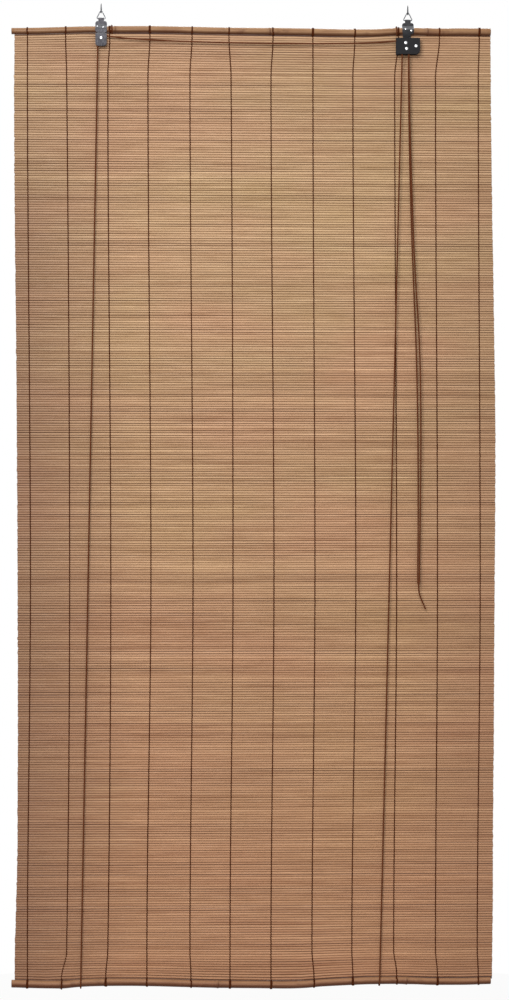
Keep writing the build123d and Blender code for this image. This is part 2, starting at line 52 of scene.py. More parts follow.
# Places and sizes from the CAD, in metres
LEFT_X, RIGHT_X = -0.256, 0.256
HEAD_Z = (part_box("head_cane")[0][2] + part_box("head_cane")[1][2]) / 2
FOOT_Z = (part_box("foot_cane")[0][2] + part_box("foot_cane")[1][2]) / 2
MAT_LOW, MAT_HIGH = (np.array(corner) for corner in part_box("slat_mat"))
MAT_HALF_T = (MAT_HIGH[1] - MAT_LOW[1]) / 2
SLAT_PITCH = 0.004
CANE_MIDDLE_X, CANE_LENGTH = -0.005, 0.8
CANE_BORE_R, CANE_BORE_DEPTH = 0.0017, 0.014
HEAD_RADII, HEAD_NODES = (0.0054, 0.0057, 0.0061, 0.0064), (-0.2322, 0.0254, 0.2894)
FOOT_RADII, FOOT_NODES = (0.0065, 0.0063, 0.0062, 0.0059), (-0.3218, -0.061, 0.2542)
PULLEY_Z, LOCK_Z = -0.051065, -0.057065
PULLEY_Y, LOCK_BACK_Y, LOCK_FRONT_Y = -0.00993, -0.01063, -0.01496
LOCK_AXLE_X, ANVIL_X, ANVIL_Z, CAM_X, CAM_Z = 0.251, 0.2523, -0.066765, 0.2682, -0.062265
WHEEL_R = 0.0052
CORD_R = 0.0013
SHEET = 0.001
STRAP_W = 0.0194
# The housings' back faces, and the room inside them from back to front
PULLEY_FACE_Y, LOCK_FACE_Y = -0.0066, -0.0073
PULLEY_ROOM, LOCK_ROOM = 0.00466, 0.00899
# Lift cords: the tie at the head cane, the turn round the foot cane and its radius
LEFT_TIE_X, RIGHT_TIE_X = -0.2382, 0.2370
LEFT_TURN_X, RIGHT_TURN_X = -0.290, 0.208
LEFT_TURN_R, RIGHT_TURN_R = 0.0079, 0.0078


def linear(r, g, b):
    """A colour written in 0 to 255 display values, as shader values."""
    return tuple(c / 12.92 if c <= 0.04045 else ((c + 0.055) / 1.055) ** 2.4
                 for c in (r / 255, g / 255, b / 255)) + (1.0,)


def angles(count):
    """Evenly spaced angles of a full turn."""
    return np.linspace(0, 2 * math.pi, count, endpoint=False)


def any_angle(count=None):
    """A random angle, or as many as count says."""
    return rng.uniform(0, 6.28, count)


def smooth_line(xs, ys):
    """A smooth function through the given places, which never swings past them."""
    xs, ys = np.array(xs, float), np.array(ys, float)
    rise = np.diff(ys) / np.diff(xs)
    slopes = np.zeros(len(xs))
    same = rise[:-1] * rise[1:] > 0
    slopes[1:-1][same] = 2 * (rise[:-1] * rise[1:])[same] / (rise[:-1] + rise[1:])[same]

    def at(x):
        x = np.clip(np.asarray(x, float), xs[0], xs[-1])
        i = np.clip(np.searchsorted(xs, x) - 1, 0, len(xs) - 2)
        h = xs[i + 1] - xs[i]
        t = (x - xs[i]) / h
        return ((1 + 2 * t) * (1 - t) ** 2 * ys[i] + t * (1 - t) ** 2 * h * slopes[i]
                + t * t * (3 - 2 * t) * ys[i + 1] + t * t * (t - 1) * h * slopes[i + 1])

    return at


# The canes' bows, along X; the head cane has almost none where a strap holds it
head_bow = smooth_line(
    [-0.405, -0.315, -0.275, -0.256, -0.237, -0.175, -0.105, -0.041, 0.029, 0.097, 0.136, 0.167, 0.200,
     0.225, 0.244, 0.256, 0.268, 0.285, 0.309, 0.350, 0.395],
    [-0.0036, -0.0014, -0.0001, 0, 0.0001, 0.0006, -0.0002, -0.0012, -0.0016, -0.0022, -0.0029, -0.0030,
     -0.0027, -0.0011, 0, 0, 0, -0.0005, -0.0010, -0.0003, -0.0005])
foot_bow = smooth_line(
    [-0.405, -0.371, -0.345, -0.318, -0.303, -0.290, -0.264, -0.237, -0.208, -0.157, -0.104, -0.050, 0.003,
     0.056, 0.083, 0.110, 0.136, 0.163, 0.190, 0.230, 0.270, 0.300, 0.350, 0.395],
    [-0.0002, -0.0014, -0.0021, -0.0024, -0.0012, -0.0001, 0.0009, 0.0011, 0.0010, -0.0003, -0.0022,
     -0.0037, -0.0045, -0.0053, -0.0046, -0.0023, -0.0011, 0, 0.0009, 0.0012, 0.0001, -0.0010, -0.0012,
     -0.0002])
# How far the slats are moved to the right, along Z
side_bow = smooth_line([MAT_LOW[2] - 0.02, -1.45, -1.16, -0.95, -0.60, -0.25, MAT_HIGH[2] + 0.02],
                       [0, 0.0022, 0.0047, 0.0050, 0.0036, 0.0014, 0])
# How much longer than the CAD's mat the slats are at each side, along Z
left_reach = smooth_line(
    [-1.57, -1.485, -1.40, -1.32, -1.15, -0.98, -0.65, -0.48, -0.32, -0.15, -0.04],
    [0.0029, 0.0021, 0.0009, 0.0017, 0.0023, 0.0031, 0.0036, 0.0043, 0.0048, 0.0045, 0.0030])
right_reach = smooth_line([-1.57, -1.32, -0.98, -0.82, -0.70, -0.48, -0.32, -0.15],
                          [0.0005, -0.0011, -0.0002, 0.0012, 0.0020, 0.0003, -0.0012, -0.0020])
# How far from a cane its bow fades out of the mat
HEAD_BOW_FADE, FOOT_BOW_FADE = 0.045, 0.035


def hang(x, z):
    """How far the mat's slats and strings are moved up by the canes' bows."""
    by_head = head_bow(x) * np.exp(-(MAT_HIGH[2] - z) / HEAD_BOW_FADE)
    by_foot = foot_bow(x) * np.exp(-(z - MAT_LOW[2]) / FOOT_BOW_FADE)
    return by_head + by_foot


def cane_radius(x, radii, joints):
    """A cane's radius at x, away from its growth nodes."""
    return radii[int(sum(x > joint for joint in joints))]


# Mesh helpers
def make_mesh(name, points, faces, material, smooth=True):
    mesh = bpy.data.meshes.new(name)
    mesh.from_pydata([tuple(p) for p in points], [], [tuple(f) for f in faces])
    mesh.polygons.foreach_set("use_smooth", [smooth] * len(mesh.polygons))
    mesh.materials.append(material)
    mesh.update()
    piece = bpy.data.objects.new(name, mesh)
    bpy.context.scene.collection.objects.link(piece)
    return piece


def paint_points(piece, name, colours):
    """Keep four numbers for each point of a piece, which its material reads by name."""
    layer = piece.data.attributes.new(name, "FLOAT_COLOR", "POINT")
    layer.data.foreach_set("color", colours.astype(np.float32).ravel())


class Shape:
    """Points and faces gathered for one piece."""

    def __init__(self):
        self.points, self.faces, self.count = [], [], 0

    def add(self, points, faces):
        self.points.append(np.asarray(points, float).reshape(-1, 3))
        self.faces += [tuple(int(v) + self.count for v in face) for face in faces]
        self.count += len(self.points[-1])

    def grid(self, points, closed_rows=False):
        """A skin over closed rows of points, with end caps unless the last row joins the first."""
        rows, sides = points.shape[:2]
        faces = []
        for i in range(rows if closed_rows else rows - 1):
            below = (i + 1) % rows
            for j in range(sides):
                after = (j + 1) % sides
                faces.append((i * sides + j, i * sides + after, below * sides + after, below * sides + j))
        if not closed_rows:
            faces.append(tuple(range(sides))[::-1])
            faces.append(tuple((rows - 1) * sides + j for j in range(sides)))
        self.add(points, faces)

    def piece(self, name, material):
        return make_mesh(name, np.concatenate(self.points), self.faces, material)


def rings_along(path, sides, closed=False):
    """Angles round a path, and for each of its points the directions at those angles."""
    if closed:
        tangent = np.roll(path, -1, 0) - np.roll(path, 1, 0)
    else:
        tangent = np.gradient(path, axis=0)
    tangent /= np.linalg.norm(tangent, axis=1)[:, None]
    last = np.array([0.0, 1.0, 0.0]) if abs(tangent[0][1]) < 0.9 else np.array([1.0, 0.0, 0.0])
    side = np.empty_like(path)
    for i, t in enumerate(tangent):
        last = last - t * (last @ t)
        last = last / np.linalg.norm(last)
        side[i] = last
    other = np.cross(tangent, side)
    turn = angles(sides)
    ring = np.cos(turn)[None, :, None] * side[:, None, :] + np.sin(turn)[None, :, None] * other[:, None, :]
    return turn, ring


def tube(path, radius, sides, closed=False):
    """Rows of points round a path."""
    path = np.asarray(path, float)
    _, ring = rings_along(path, sides, closed)
    return path[:, None, :] + radius * ring


def turned(profile, origin, axis, sides=28):
    """Rows of points from (radius, height) turned about an axis."""
    axis = np.array(axis, float) / np.linalg.norm(axis)
    side = np.cross(axis, [1.0, 0.0, 0.0] if abs(axis[0]) < 0.9 else [0.0, 1.0, 0.0])
    side /= np.linalg.norm(side)
    other = np.cross(axis, side)
    turn = angles(sides)
    ring = np.cos(turn)[:, None] * side + np.sin(turn)[:, None] * other
    return np.array([np.array(origin) + axis * h + ring * r for r, h in profile])


def route(points):
    """Points read from the smooth NURBS line of a cord's route."""
    curve = bpy.data.curves.new("route", "CURVE")
    curve.dimensions = "3D"
    curve.resolution_u = 24
    spline = curve.splines.new("NURBS")
    spline.points.add(len(points) - 1)
    for target, point in zip(spline.points, points):
        target.co = (*point, 1.0)
    spline.order_u = 3
    spline.use_endpoint_u = True
    holder = bpy.data.objects.new("route", curve)
    bpy.context.scene.collection.objects.link(holder)
    bpy.context.view_layer.update()
    mesh = bpy.data.meshes.new_from_object(holder.evaluated_get(bpy.context.evaluated_depsgraph_get()))
    line = np.array([v.co for v in mesh.vertices], float)
    bpy.data.objects.remove(holder)
    bpy.data.curves.remove(curve)
    bpy.data.meshes.remove(mesh)
    return line


def even(line, step):
    """The same line with points at an even step."""
    line = np.asarray(line, float)
    reach = np.concatenate([[0], np.cumsum(np.linalg.norm(np.diff(line, axis=0), axis=1))])
    at = np.linspace(0, reach[-1], max(4, round(reach[-1] / step)))
    return np.stack([np.interp(at, reach, line[:, k]) for k in range(3)], axis=1)


def laid_cord(line):
    """Rows of points of a cord of three twisted strands."""
    step, sides, strands, lay = 0.0008, 10, 3, 0.0062
    path = even(line, step)
    turn, ring = rings_along(path, sides)
    along = np.arange(len(path)) * step
    twist = strands * (turn[None, :] - 2 * math.pi * along[:, None] / lay)
    reach = CORD_R * (0.93 + 0.10 * np.cos(twist))
    return path[:, None, :] + reach[:, :, None] * ring


def ball(centre, size):
    """Rows of points of a round knot, with a small flat at each pole."""
    rows, sides, flat = 8, 12, 0.12
    profile = [(math.sin(a), -math.cos(a)) for a in np.linspace(flat, math.pi - flat, rows)]
    return turned(profile, (0, 0, 0), (0, 0, 1), sides) * np.array(size) + np.array(centre)


# Materials
class Paint:
    """A material's nodes, made one at a time."""

    def __init__(self, name, roughness=0.5, metallic=0.0):
        self.material = bpy.data.materials.new(name)
        self.material.use_nodes = True
        self.tree = self.material.node_tree
        self.shader = self.tree.nodes["Principled BSDF"]
        self.shader.inputs["Roughness"].default_value = roughness
        self.shader.inputs["Metallic"].default_value = metallic
        self.place = self.node("ShaderNodeTexCoord").outputs["Object"]

    def node(self, kind, sockets=None, **settings):
        made = self.tree.nodes.new(kind)
        for key, value in settings.items():
            setattr(made, key, value)
        for key, value in (sockets or {}).items():
            self.put(made.inputs[key], value)
        return made

    def put(self, socket, value):
        if isinstance(value, bpy.types.NodeSocket):
            self.tree.links.new(value, socket)
        else:
            socket.default_value = value

    def noise(self, scale, detail, roughness, w=None):
        """Noise with its own scale along each axis; w picks another pattern."""
        place = self.node("ShaderNodeMapping", {"Vector": self.place, "Scale": scale}).outputs["Vector"]
        sockets = {"Vector": place, "Scale": 1.0, "Detail": detail, "Roughness": roughness}
        if w is None:
            return self.node("ShaderNodeTexNoise", sockets).outputs["Fac"]
        return self.node("ShaderNodeTexNoise", {**sockets, "W": w}, noise_dimensions="4D").outputs["Fac"]

    def math(self, operation, a, b):
        return self.node("ShaderNodeMath", {0: a, 1: b}, operation=operation).outputs[0]

    def spread(self, value, low, high, to_low=0.0, to_high=1.0):
        """value from low to high, as a number from to_low to to_high."""
        return self.node("ShaderNodeMapRange", {"Value": value, "From Min": low, "From Max": high,
                                                "To Min": to_low, "To Max": to_high}).outputs["Result"]

    def mix(self, factor, a, b):
        made = self.node("ShaderNodeMix", data_type="RGBA")
        self.put(made.inputs["Factor"], factor)
        self.put(made.inputs[6], a)
        self.put(made.inputs[7], b)
        return made.outputs[2]

    def xyz(self, vector):
        return self.node("ShaderNodeSeparateXYZ", {"Vector": vector}).outputs

    def points(self, name):
        """The four numbers that paint_points kept for each point."""
        kept = self.node("ShaderNodeAttribute", attribute_name=name).outputs
        first = self.node("ShaderNodeSeparateColor", {"Color": kept["Color"]}).outputs
        return first[0], first[1], first[2], kept["Alpha"]

    def bump(self, height, strength, distance):
        made = self.node("ShaderNodeBump", {"Height": height, "Strength": strength, "Distance": distance})
        self.put(self.shader.inputs["Normal"], made.outputs["Normal"])

    def use(self, **sockets):
        """Set the shader's inputs and hand over the finished material."""
        for key, value in sockets.items():
            self.put(self.shader.inputs[key.replace("_", " ")], value)
        return self.material


def slat_paint():
    p = Paint("split_bamboo", roughness=0.55)
    tone, seed, edge, gap = p.points("slat")
    side, _, height = p.xyz(p.place)
    along = p.noise((6.5, 0, 0), 3.0, 0.6, w=p.math("MULTIPLY", seed, 173.0))
    grain = p.noise((30.0, 1500.0, 1500.0), 3.0, 0.6)
    patch = p.noise((3.0, 0.0, 8.0), 2.0, 0.5)
    band = p.noise((0.9, 0.0, 26.0), 2.0, 0.6)
    fade = p.noise((3.2, 0, 0), 2.0, 0.6, w=p.math("MULTIPLY", seed, 311.0))
    # light and dark of each slat and along it, in four hues
    own_share, along_share = p.math("MULTIPLY", tone, 0.44), p.spread(along, 0.30, 0.70)
    light = p.math("ADD", own_share, p.math("MULTIPLY", along_share, 0.56))
    straw = p.mix(light, linear(154, 116, 76), linear(216, 177, 134))
    pink = p.mix(light, linear(160, 106, 74), linear(218, 166, 130))
    olive = p.mix(light, linear(152, 121, 70), linear(212, 183, 126))
    brown = p.mix(light, linear(146, 92, 58), linear(198, 145, 106))
    body = p.mix(p.spread(patch, 0.46, 0.64, 0.0, 0.45), straw, pink)
    body = p.mix(p.spread(patch, 0.46, 0.30, 0.0, 0.40), body, olive)
    body = p.mix(p.spread(height, -0.40, -1.6, 0.0, 0.85), body, brown)
    # stained bands, then fibres
    body = p.mix(p.spread(band, 0.52, 0.68, 0.0, 0.07), body, linear(146, 102, 72))
    body = p.mix(p.spread(grain, 0.50, 0.74, 0.0, 0.34), body, linear(124, 84, 54))
    # painted shade: darker sides below the top, and a darker top
    left_side = p.spread(side, -0.20, -0.40, 0.0, 0.62)
    right_side = p.spread(side, 0.24, 0.40, 0.0, 0.28)
    below_top = p.spread(height, -0.12, -0.36, 0.2, 1.0)
    side_shade = p.math("MULTIPLY", p.math("MAXIMUM", left_side, right_side), below_top)
    body = p.mix(side_shade, body, linear(120, 82, 58))
    body = p.mix(p.spread(height, -0.34, -0.10, 0.0, 0.16), body, linear(132, 96, 70))
    # painted shade in the seams between slats, each seam with its own strength
    seam_shade = p.math("MULTIPLY", gap, p.spread(fade, 0.36, 0.58, 0.6, 1.0))
    seam_shade = p.math("MULTIPLY", p.spread(edge, 0.16, 0.78), seam_shade)
    body = p.mix(seam_shade, body, linear(62, 28, 8))
    p.bump(grain, 0.35, 0.0004)
    return p.use(Base_Color=body, Roughness=p.spread(grain, 0.3, 0.7, 0.45, 0.7))


def cane_paint():
    p = Paint("bamboo_cane", roughness=0.4)
    near, up, _, _ = p.points("cane")
    height = p.xyz(p.place)["Z"]
    streak = p.noise((9.0, 420.0, 420.0), 3.0, 0.6)
    stain = p.noise((14.0, 30.0, 30.0), 3.0, 0.6)
    blotch = p.noise((60.0, 90.0, 90.0), 2.0, 0.5)
    body = p.mix(p.spread(stain, 0.35, 0.68), linear(164, 126, 90), linear(136, 96, 66))
    # the foot cane is redder than the head cane
    body = p.mix(p.spread(height, -0.5, -1.2, 0.0, 0.6), body, linear(140, 90, 66))
    body = p.mix(p.spread(streak, 0.42, 0.72, 0.0, 0.6), body, linear(106, 68, 44))
    body = p.mix(p.spread(blotch, 0.60, 0.74, 0.0, 0.5), body, linear(92, 56, 36))
    # dark growth nodes and ends, a painted highlight on the top and painted shade on the underside
    body = p.mix(p.spread(near, 0.1, 1.0, 0.0, 0.75), body, linear(82, 48, 32))
    body = p.mix(p.spread(up, 0.60, 0.84, 0.0, 0.35), body, linear(198, 154, 114))
    under = p.math("SUBTRACT", up, p.spread(height, -0.5, -1.2, 0.0, 0.2))
    body = p.mix(p.spread(under, 0.46, 0.14, 0.0, 0.84), body, linear(70, 33, 15))
    p.bump(streak, 0.3, 0.0005)
    return p.use(Base_Color=body, Roughness=p.spread(streak, 0.3, 0.7, 0.34, 0.55), Specular_IOR_Level=0.18)


def thread_paint(name, dark, light, fibre=2600.0):
    p = Paint(name, roughness=0.85)
    fibres = p.noise((fibre, fibre, fibre * 0.35), 3.0, 0.65)
    wear = p.noise((18.0, 18.0, 18.0), 2.0, 0.5)
    body = p.mix(p.spread(fibres, 0.3, 0.7), dark, light)
    body = p.mix(p.spread(wear, 0.5, 0.75, 0.0, 0.4), body, light)
    p.bump(fibres, 0.5, 0.0003)
    return p.use(Base_Color=body, Specular_IOR_Level=0.06)


def metal_paint(name, dark, light, roughness, scale=260.0, top_highlight=None, fade=None):
    """Spangled metal; faces that look up get a painted highlight in the given colour, and fade darkens it
    downwards as painted shade.
    """
    p = Paint(name, roughness=roughness, metallic=0.85)
    spangle = p.node("ShaderNodeTexVoronoi", {"Vector": p.place, "Scale": scale}).outputs["Color"]
    rub = p.noise((900.0, 900.0, 120.0), 3.0, 0.6)
    grime = p.noise((130.0, 130.0, 130.0), 3.0, 0.6)
    body = p.mix(p.spread(spangle, 0.0, 1.0, 0.25, 0.75), dark, light)
    body = p.mix(p.spread(grime, 0.46, 0.70, 0.0, 0.6), body, dark)
    # painted highlight on faces that look up, over painted shade lower down
    if top_highlight is not None:
        facing = p.xyz(p.node("ShaderNodeTexCoord").outputs["Normal"])["Z"]
        body = p.mix(p.spread(p.xyz(p.place)["Z"], *fade), body, dark)
        body = p.mix(p.spread(facing, 0.1, 0.6, 0.0, 0.9), body, top_highlight)
    p.bump(rub, 0.12, 0.0002)
    return p.use(Base_Color=body, Roughness=p.spread(rub, 0.3, 0.7, roughness - 0.08, roughness + 0.12))


def black_paint():
    p = Paint("black_paint", roughness=0.5)
    peel = p.noise((700.0, 700.0, 700.0), 2.0, 0.5)
    dust = p.noise((160.0, 160.0, 160.0), 3.0, 0.6)
    body = p.mix(p.spread(dust, 0.45, 0.75, 0.0, 0.5), linear(16, 16, 19), linear(30, 30, 34))
    p.bump(peel, 0.15, 0.0002)
    return p.use(Base_Color=body, Roughness=p.spread(dust, 0.3, 0.7, 0.44, 0.6), Specular_IOR_Level=0.14)


def nylon_paint():
    p = Paint("nylon", roughness=0.45)
    rub = p.noise((350.0, 350.0, 350.0), 3.0, 0.6)
    p.bump(rub, 0.1, 0.0002)
    body = p.mix(p.spread(rub, 0.35, 0.7), linear(226, 222, 210), linear(190, 184, 170))
    return p.use(Base_Color=body, Subsurface_Weight=0.1)


bamboo_slat = slat_paint()
bamboo_cane = cane_paint()
string_brown = thread_paint("brown_string", linear(50, 19, 5), linear(92, 44, 17))
cord_brown = thread_paint("brown_cord", linear(70, 32, 16), linear(112, 64, 38), 1800.0)
# the lighter colours for faces that look up are painted highlights, and the fades are painted shade
zinc_sheet = metal_paint("zinc_sheet", linear(32, 31, 34), linear(65, 64, 68), 0.42,
                         top_highlight=linear(108, 108, 111), fade=(-0.050, -0.072, 0.0, 0.6))
zinc_dark = metal_paint("zinc_dark", linear(16, 16, 18), linear(56, 56, 58), 0.42,
                        top_highlight=linear(112, 113, 116), fade=(-0.030, -0.044, 0.0, 0.85))
bright_steel = metal_paint("bright_steel", linear(196, 197, 200), linear(240, 241, 243), 0.2, 700.0)
hook_steel = metal_paint("hook_steel", linear(48, 49, 52), linear(96, 98, 102), 0.32, 700.0)
wire_steel = metal_paint("wire_steel", linear(60, 61, 64), linear(104, 106, 110), 0.28, 700.0)
lock_black = black_paint()
nylon = nylon_paint()


# Slat mat: a closed skin for each slat, with one more at each end that fills the join at the cane
def build_slats():
    count = round((MAT_HIGH[2] - MAT_LOW[2]) / SLAT_PITCH)
    pitch = (MAT_HIGH[2] - MAT_LOW[2]) / count
    # depth, height and edge shade of the section, from the front lip round to the back
    section = np.array([(-0.05, 0.92, 1.0), (-0.72, 0.80, 0.62), (-1.0, 0.44, 0.0), (-1.0, -0.44, 0.0),
                        (-0.72, -0.80, 0.62), (-0.05, -0.92, 1.0), (0.25, -1.15, 1.0), (0.85, -0.74, 0.5),
                        (0.97, 0.0, 0.0), (0.85, 0.74, 0.5), (0.25, 1.15, 1.0)])
    depth, tall, edge = section.T
    lip = np.abs(tall) > 0.9
    stations, sides = 18, len(section)
    end_play, end_station = 0.0002, 0.0007
    sway, swell = 0.00016, 0.00010
    shape, shades = Shape(), []
    # slow changes from slat to slat; three of the six columns are used
    drift = rng.normal(0, 1, (count + 8, 6))
    drift = sum(np.roll(drift, k, 0) for k in range(8)) / 2.8
    for i in range(-1, count + 1):
        z = MAT_HIGH[2] - (i + 0.5) * pitch
        left = MAT_LOW[0] - left_reach(z) + rng.normal(0, end_play) + abs(rng.normal(0, end_play))
        right = MAT_HIGH[0] + right_reach(z) + rng.normal(0, end_play) - abs(rng.normal(0, end_play))
        # a station close to each end keeps the smooth shading of the end off the rest of the slat
        inner = np.linspace(left + end_station, right - end_station, stations - 2)
        x = np.concatenate([[left], inner, [right]])
        u = 2 * (x - left) / (right - left) - 1
        wave = sway * (drift[i, 0] * np.sin(2.2 * u + drift[i, 1]) + drift[i, 2] * np.sin(4.1 * u + 1.7))
        rise = swell * np.sin(3.0 * u + any_angle()) + rng.normal(0, 0.00006)
        width = rng.normal(1.0, 0.07) + 0.05 * np.sin(rng.uniform(2, 6) * u + any_angle())
        width = np.clip(width, 0.80, 1.10)
        crown = MAT_HALF_T * (0.94 + 0.05 * np.sin(5 * u + any_angle()))
        points = np.empty((stations, sides, 3))
        points[:, :, 0] = (x + side_bow(z))[:, None]
        points[:, :, 1] = np.where(lip, 0, rise[:, None]) + crown[:, None] * depth[None, :]
        reach = np.where(lip, tall, width[:, None] * tall + rng.normal(0, 0.05))
        points[:, :, 2] = (z + wave + hang(x, z))[:, None] + pitch / 2 * reach
        shape.grid(points)
        tone, seed, gap = np.clip(rng.normal(0.5, 0.26), 0, 1), rng.uniform(0, 1), rng.uniform(0.45, 1.0)
        shade = np.empty((stations, sides, 4))
        shade[:, :, 0], shade[:, :, 1], shade[:, :, 2], shade[:, :, 3] = tone, seed, edge, gap
        # the two slats that fill the joins are painted dark, a painted shadow under the head cane and above
        # the foot cane
        if i in (-1, count):
            shade[:, :, 2], shade[:, :, 3] = 0.8, 1.0
        shades.append(shade)
    piece = shape.piece("slat_mat_slats", bamboo_slat)
    paint_points(piece, "slat", np.array(shades))
    return piece, count, pitch


slats, slat_count, slat_pitch = build_slats()

# Weaving strings: X in mm at the head cane, below it, half-way, above the foot cane and on it
STRING_PLACES = np.array([
    (-378.5, -378.5, -373.5, -378.5, -378.5), (-315.1, -313.4, -308.4, -313.4, -321.8),
    (-241.6, -245.0, -240.0, -245.0, -248.3), (-174.9, -178.2, -173.2, -179.9, -179.9),
    (-104.8, -108.2, -103.1, -108.2, -106.5), (-43.1, -39.7, -36.4, -41.4, -41.4),
    (30.4, 27.0, 32.0, 27.0, 27.0), (97.1, 97.1, 100.5, 95.5, 98.8),
    (167.2, 163.9, 168.9, 162.2, 163.9), (240.6, 234.0, 237.3, 232.3, 237.3),
    (309.1, 302.4, 305.8, 302.4, 305.8), (375.9, 374.2, 377.5, 372.5, 374.2)]) * 0.001
STRING_COUNT = len(STRING_PLACES)
BELOW_HEAD, ABOVE_FOOT, AT_CANE, HALF_WAY_Z = 0.070, 0.045, 0.004, -0.95


def string_line(k):
    """X of a weaving string along Z."""
    head, below, middle, above, foot = STRING_PLACES[k]
    return smooth_line([FOOT_Z, MAT_LOW[2] + AT_CANE, MAT_LOW[2] + ABOVE_FOOT, HALF_WAY_Z,
                        MAT_HIGH[2] - BELOW_HEAD, MAT_HIGH[2] - AT_CANE, HEAD_Z],
                       [foot, foot, above, middle, below, head, head])


def build_strings(name, which):
    """Two strands to each place, one before and one behind each slat in turn."""
    shape = Shape()
    thick, half_w = 0.00055, 0.00092
    front = MAT_HALF_T + thick * 0.75
    clear, apart, slant, play = 0.0002, 0.0004, 0.0010, 0.00018
    ring = np.array([(half_w, 0), (0, thick), (-half_w, 0), (0, -thick)])
    for k in which:
        place = string_line(k)
        head_r = cane_radius(place(HEAD_Z), HEAD_RADII, HEAD_NODES)
        foot_r = cane_radius(place(FOOT_Z), FOOT_RADII, FOOT_NODES)
        for first in (1, -1):
            # Z, Y and slant, from the head cane over each slat to the foot cane
            spots = [(HEAD_Z - head_r - clear, first * apart, 0)]
            for i in range(slat_count):
                side = first if i % 2 else -first
                middle = MAT_HIGH[2] - (i + 0.5) * slat_pitch
                for offset, share in ((0.31, 0.80), (0.0, 1.0), (-0.31, 0.80)):
                    spots.append((middle + offset * slat_pitch, side * front * share, side * offset))
            spots.append((FOOT_Z + foot_r + clear, first * apart, 0))
            z, y, lean = np.array(spots).T
            x = place(z)
            jitter = np.convolve(rng.normal(0, play, len(z)), np.ones(5) / 5, "same")
            path = np.stack([x + jitter + slant * lean, y, z + hang(x, z)], axis=1)
            normal = np.cross(np.gradient(path, axis=0), [1.0, 0, 0])
            normal /= np.linalg.norm(normal, axis=1)[:, None]
            across = ring[None, :, :1] * np.array([1.0, 0, 0])
            shape.grid(path[:, None, :] + across + ring[None, :, 1:] * normal[:, None, :])
    return shape.piece(name, string_brown)


strings_left = build_strings("warp_strings_left", range(0, STRING_COUNT // 2))
strings_right = build_strings("warp_strings_right", range(STRING_COUNT // 2, STRING_COUNT))


def build_bindings(name, at_z, bow, radii, joints, mat_side):
    """Turns of string round a cane, with a knot in front, towards the mat: -1 below or 1 above."""
    shape = Shape()
    string_r, lift, pitch = 0.00068, 0.00050, 0.00120
    node_reach, node_lift = 0.004, 0.0007
    knot_size, knot_share = (0.0015, 0.0010, 0.0013), 0.72
    for k in range(STRING_COUNT):
        x = float(string_line(k)(at_z))
        radius = cane_radius(x, radii, joints) + lift
        if min(abs(x - joint) for joint in joints) < node_reach:
            radius += node_lift
        turns = rng.choice([2, 3])
        t = np.linspace(0, 2 * math.pi * turns, 22 * turns)
        lead = any_angle()
        middle = at_z + float(bow(x))
        path = np.stack([x + pitch * (t / (2 * math.pi) - turns / 2), -radius * np.cos(t + lead),
                         middle + radius * np.sin(t + lead)], axis=1)
        shape.grid(tube(path, string_r, 6))
        knot_x = x + rng.normal(0, 0.0003)
        shape.grid(ball((knot_x, -radius * knot_share, middle + mat_side * radius * knot_share), knot_size))
    return shape.piece(name, string_brown)


head_turns = build_bindings("head_string_turns", HEAD_Z, head_bow, HEAD_RADII, HEAD_NODES, -1)
foot_turns = build_bindings("foot_string_turns", FOOT_Z, foot_bow, FOOT_RADII, FOOT_NODES, 1)


# Canes
def node_swell(d):
    """A growth node's ridge, the groove beside it and its wide swelling, at d from its middle."""
    ridge = 0.00055 * math.exp(-((d + 0.0008) / 0.0013) ** 2)
    groove = 0.00020 * math.exp(-((d - 0.0014) / 0.0006) ** 2)
    return ridge - groove + 0.00025 * math.exp(-(d / 0.006) ** 2)


def node_stain(x, joints):
    """How dark a cane is at x: a ring on each growth node and a stain round it."""
    d = min(abs(x - joint) for joint in joints)
    return max(math.exp(-(d / 0.0022) ** 2), 0.5 * math.exp(-(d / 0.0075) ** 2))


def build_cane(name, at_z, bow, radii, joints):
    left, right = CANE_MIDDLE_X - CANE_LENGTH / 2, CANE_MIDDLE_X + CANE_LENGTH / 2
    bevel, bore_tip_r, skin, end_stain = 0.0005, 0.0004, 0.00012, 0.9
    node_reach, node_blend = 0.012, 0.0009
    node_stations = (-0.008, -0.004, -0.0026, -0.0016, -0.0009, -0.0003, 0.0004, 0.0010, 0.0018, 0.0028,
                     0.0045, 0.009)
    extra = [joint + d for joint in joints for d in node_stations]
    xs = np.sort(np.concatenate([np.linspace(left + 0.0006, right - 0.0006, 110), extra]))
    sides = 28
    turn = angles(sides)
    # two of the four draws are used
    waves = any_angle(4)
    rows, near = [], []

    def add_row(x, radius, stain):
        rows.append(np.stack([np.full(sides, x), -radius * np.cos(turn),
                              at_z + float(bow(x)) + radius * np.sin(turn)], axis=1))
        near.append(stain)

    def add_end(end_x, inner_x, end_r, order):
        """A cane's hollow end, from the bottom of its bore outwards, or inwards where order is -1."""
        bore = [(inner_x, bore_tip_r), (inner_x, CANE_BORE_R), (end_x, CANE_BORE_R), (end_x, end_r)]
        for x, radius in bore[::order]:
            add_row(x, radius, end_stain)

    add_end(left, left + CANE_BORE_DEPTH, radii[0] - bevel, 1)
    for x in xs:
        base = cane_radius(x, radii, joints)
        for joint, before, after in zip(joints, radii, radii[1:]):
            if abs(x - joint) < node_reach:
                base = before + (after - before) / (1 + math.exp(-(x - joint) / node_blend))
        swell = sum(node_swell(x - joint) for joint in joints)
        oval = 0.012 * np.sin(2 * turn + waves[0] + x * 9)
        ripple = 1 + oval + 0.006 * np.sin(3 * turn + waves[1] - x * 23)
        add_row(x, (base + swell - skin) * ripple, node_stain(x, joints))
    add_end(right, right - CANE_BORE_DEPTH, radii[-1] - bevel, -1)
    shape = Shape()
    shape.grid(np.array(rows))
    piece = shape.piece(name, bamboo_cane)
    shade = np.ones((len(near), sides, 4))
    shade[:, :, 0] = np.array(near)[:, None]
    # how far each point faces up, for the painted highlight on top and the painted shade underneath
    shade[:, :, 1] = (0.5 + 0.5 * np.sin(turn))[None, :]
    paint_points(piece, "cane", shade)
    return piece


